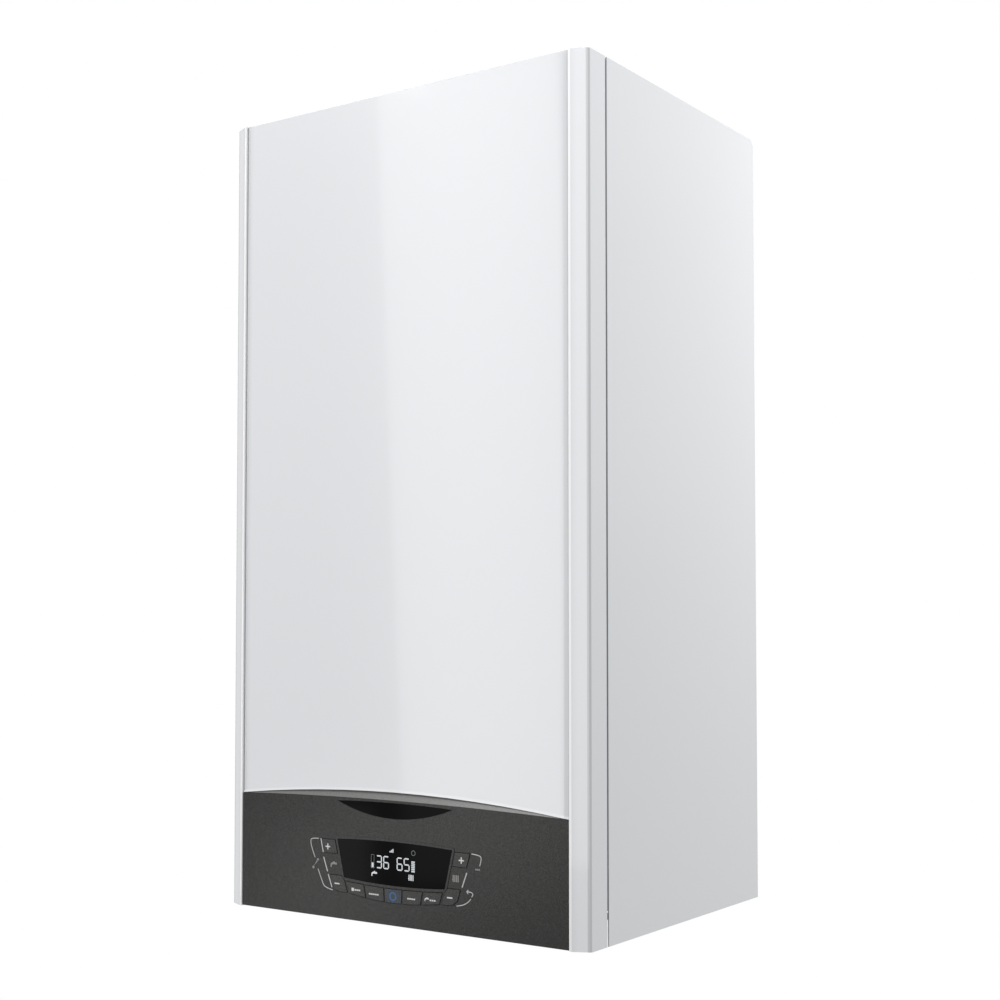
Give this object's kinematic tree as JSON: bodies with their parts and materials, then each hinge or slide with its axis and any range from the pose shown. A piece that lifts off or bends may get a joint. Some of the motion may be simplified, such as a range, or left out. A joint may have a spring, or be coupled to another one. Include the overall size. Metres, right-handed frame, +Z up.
{
  "type": "combi boiler",
  "caption": "Wall-hung combination boiler with a white steel case, a fold-down control panel under an arched edge, a pull-off front casing and its inner works.",
  "frame": {"origin": "midway between the two hanging slots, on the wall plane", "axes": "+Z up along the case, +X to the right seen from the room, +Y into the wall, so the front faces -Y"},
  "size_m": [0.4, 0.319, 0.779],
  "materials": {
    "white_enamel": "fine semi-gloss powder coat",
    "zinc_sheet": "galvanised sheet",
    "white_plastic": "satin moulding",
    "black_rubber": "matt",
    "flue_plastic": "satin polypropylene",
    "black_plastic": "satin moulding",
    "stainless": "stainless, satin",
    "cast_aluminium": "die cast, fine grain",
    "zinc_screw": "zinc plated",
    "ceramic": "glazed ceramic",
    "copper": "drawn copper tube",
    "vessel_paint": "red enamel",
    "composite": "glass-filled moulding",
    "pump_paint": "dark grey paint",
    "brass": "machined",
    "trap_plastic": "milky moulding",
    "grey_foam": "closed-cell foam",
    "fascia_grey": "metallic dark grey, satin",
    "display_black": "high gloss",
    "board_green": "circuit board",
    "box_plastic": "satin moulding",
    "wheel_plastic": "moulding",
    "red_plastic": "moulding",
    "key_grey": "metallic dark grey, satin"
  },
  "bodies": {
    "chassis": {"rear_frame": "zinc_sheet", "left_side_panel": "white_enamel", "right_side_panel": "white_enamel", "top_panel": "white_enamel", "bottom_plate": "zinc_sheet", "flue_collar": "white_plastic", "flue_seal": "black_rubber", "exhaust_pipe": "flue_plastic", "air_silencer": "black_plastic", "heat_exchanger": "stainless", "burner_door": "cast_aluminium", "burner_door_nuts": "zinc_screw", "mixer_manifold": "cast_aluminium", "ignition_electrode": "ceramic", "sensing_electrode": "ceramic", "fan_housing": "cast_aluminium", "fan_motor": "black_plastic", "gas_valve": "cast_aluminium", "gas_pipe": "copper", "expansion_vessel": "vessel_paint", "expansion_pipe": "copper", "pump_housing": "composite", "pump_motor": "pump_paint", "air_vent": "brass", "safety_valve": "brass", "filling_tap": "brass", "flow_sensor": "composite", "pressure_sensor": "black_plastic", "diverter_valve": "composite", "diverter_motor": "white_plastic", "plate_exchanger": "stainless", "flow_pipe": "copper", "return_pipe": "copper", "condensate_trap": "trap_plastic", "tail_nuts": "brass", "cable_gland": "black_plastic"},
    "front_casing": {"front_panel": "white_enamel", "casing_gasket": "grey_foam", "casing_screws": "zinc_screw"},
    "control_panel": {"control_fascia": "fascia_grey", "display_window": "display_black", "badge_lens": "display_black", "lcd_module": "board_green", "control_box": "box_plastic", "main_board": "board_green", "hinge_pins": "zinc_screw"},
    "left_plus_button": {"left_plus_key": "key_grey"},
    "left_minus_button": {"left_minus_key": "key_grey"},
    "right_plus_button": {"right_plus_key": "key_grey"},
    "right_minus_button": {"right_minus_key": "key_grey"},
    "mode_button": {"mode_key": "key_grey"},
    "menu_button": {"menu_key": "key_grey"},
    "power_button": {"power_key": "key_grey"},
    "info_button": {"info_key": "key_grey"},
    "reset_button": {"reset_key": "key_grey"},
    "fan_wheel": {"fan_impeller": "wheel_plastic"},
    "pump_wheel": {"pump_rotor": "wheel_plastic"},
    "diverter_stem": {"diverter_spindle": "brass"},
    "safety_cap": {"safety_knob": "red_plastic"},
    "filling_cap": {"filling_knob": "black_plastic"}
  },
  "joints": [
    {"name": "casing_slide", "type": "slide", "parent": "chassis", "child": "front_casing", "axis": [0, -1, 0], "range_m": [0, 0.15]},
    {"name": "panel_hinge", "type": "hinge", "parent": "chassis", "child": "control_panel", "pos_m": [0, -0.3, -0.69], "axis": [1, 0, 0], "range_deg": [0, 90]},
    {"name": "left_plus_press", "type": "slide", "parent": "control_panel", "child": "left_plus_button", "axis": [0, 1, 0], "range_m": [0, 0.001], "stiffness_N_per_m": 600},
    {"name": "left_minus_press", "type": "slide", "parent": "control_panel", "child": "left_minus_button", "axis": [0, 1, 0], "range_m": [0, 0.001], "stiffness_N_per_m": 600},
    {"name": "right_plus_press", "type": "slide", "parent": "control_panel", "child": "right_plus_button", "axis": [0, 1, 0], "range_m": [0, 0.001], "stiffness_N_per_m": 600},
    {"name": "right_minus_press", "type": "slide", "parent": "control_panel", "child": "right_minus_button", "axis": [0, 1, 0], "range_m": [0, 0.001], "stiffness_N_per_m": 600},
    {"name": "mode_press", "type": "slide", "parent": "control_panel", "child": "mode_button", "axis": [0, 1, 0], "range_m": [0, 0.001], "stiffness_N_per_m": 600},
    {"name": "menu_press", "type": "slide", "parent": "control_panel", "child": "menu_button", "axis": [0, 1, 0], "range_m": [0, 0.001], "stiffness_N_per_m": 600},
    {"name": "power_press", "type": "slide", "parent": "control_panel", "child": "power_button", "axis": [0, 1, 0], "range_m": [0, 0.001], "stiffness_N_per_m": 600},
    {"name": "info_press", "type": "slide", "parent": "control_panel", "child": "info_button", "axis": [0, 1, 0], "range_m": [0, 0.001], "stiffness_N_per_m": 600},
    {"name": "reset_press", "type": "slide", "parent": "control_panel", "child": "reset_button", "axis": [0, 1, 0], "range_m": [0, 0.001], "stiffness_N_per_m": 600},
    {"name": "fan_spin", "type": "hinge", "parent": "chassis", "child": "fan_wheel", "pos_m": [0.128, -0.15, -0.232], "axis": [0, 0, 1], "continuous": true},
    {"name": "pump_spin", "type": "hinge", "parent": "chassis", "child": "pump_wheel", "pos_m": [0.112, -0.15, -0.548], "axis": [0, -1, 0], "continuous": true},
    {"name": "diverter_shift", "type": "slide", "parent": "chassis", "child": "diverter_stem", "axis": [0, 0, 1], "range_m": [0, 0.007]},
    {"name": "safety_knob_turn", "type": "hinge", "parent": "chassis", "child": "safety_cap", "pos_m": [0.128, -0.19, -0.618], "axis": [0, -1, 0], "range_deg": [0, 90]},
    {"name": "filling_knob_turn", "type": "hinge", "parent": "chassis", "child": "filling_cap", "pos_m": [0.1, -0.13, -0.69], "axis": [0, 0, 1], "range_deg": [0, 90]}
  ]
}
